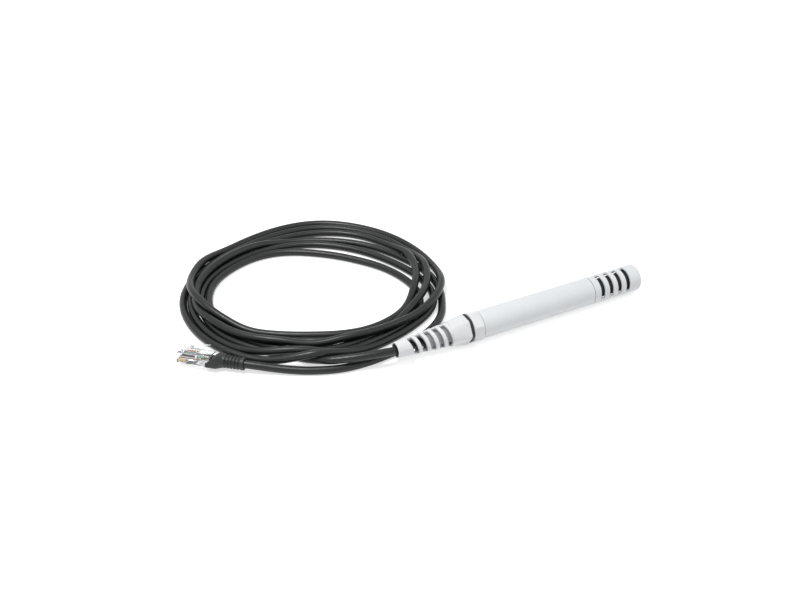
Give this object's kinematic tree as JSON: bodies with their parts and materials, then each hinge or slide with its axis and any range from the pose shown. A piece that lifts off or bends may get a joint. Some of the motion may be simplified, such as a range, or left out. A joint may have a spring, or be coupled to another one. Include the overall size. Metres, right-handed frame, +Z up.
{
  "type": "rack temperature sensor",
  "caption": "Tubular temperature probe with a slotted cap and a flexing cable gland, on a coiled round black cord that ends in a clear modular plug.",
  "frame": {"origin": "on the floor, below the middle of the probe's length", "axes": "+X along the probe towards its vented cap, +Z up, the coil of cord on the +Y side"},
  "size_m": [0.3019, 0.1952, 0.0203],
  "materials": {
    "housing": "satin light grey",
    "gland": "satin light grey nylon",
    "screen": "dark fine mesh",
    "rubber": "matt",
    "board": "solder mask",
    "chip": "moulded epoxy",
    "ceramic": "fired ceramic",
    "header": "moulded nylon",
    "cord": "satin black jacket",
    "boot": "matt black moulding",
    "clear": "clear polycarbonate",
    "gold": "gold plated",
    "core_white_orange": "extruded insulation",
    "core_orange": "extruded insulation",
    "core_white_green": "extruded insulation",
    "core_blue": "extruded insulation",
    "core_white_blue": "extruded insulation",
    "core_green": "extruded insulation",
    "core_white_brown": "extruded insulation",
    "core_brown": "extruded insulation"
  },
  "bodies": {
    "root": {"probe_tube": "housing", "vent_cap": "housing", "vent_screen": "screen", "gland_body": "gland", "cap_nut": "gland", "seal_washer": "rubber", "clamp_grommet": "rubber", "sensor_board": "board", "rear_carrier": "header", "front_carrier": "header", "temperature_chip": "chip", "interface_chip": "chip", "capacitor_1": "ceramic", "capacitor_2": "ceramic", "wire_header": "header", "cord_gland_run": "cord", "cord_coil": "cord", "cord_plug_run": "cord", "plug_shell": "clear", "plug_boot": "boot", "contact_1": "gold", "contact_2": "gold", "contact_3": "gold", "contact_4": "gold", "contact_5": "gold", "contact_6": "gold", "contact_7": "gold", "contact_8": "gold", "conductor_1": "core_white_orange", "conductor_2": "core_orange", "conductor_3": "core_white_green", "conductor_4": "core_blue", "conductor_5": "core_white_blue", "conductor_6": "core_green", "conductor_7": "core_white_brown", "conductor_8": "core_brown", "lead_wire_1": "core_orange", "lead_wire_2": "core_blue", "lead_wire_3": "core_green", "lead_wire_4": "core_brown"}
  },
  "joints": []
}
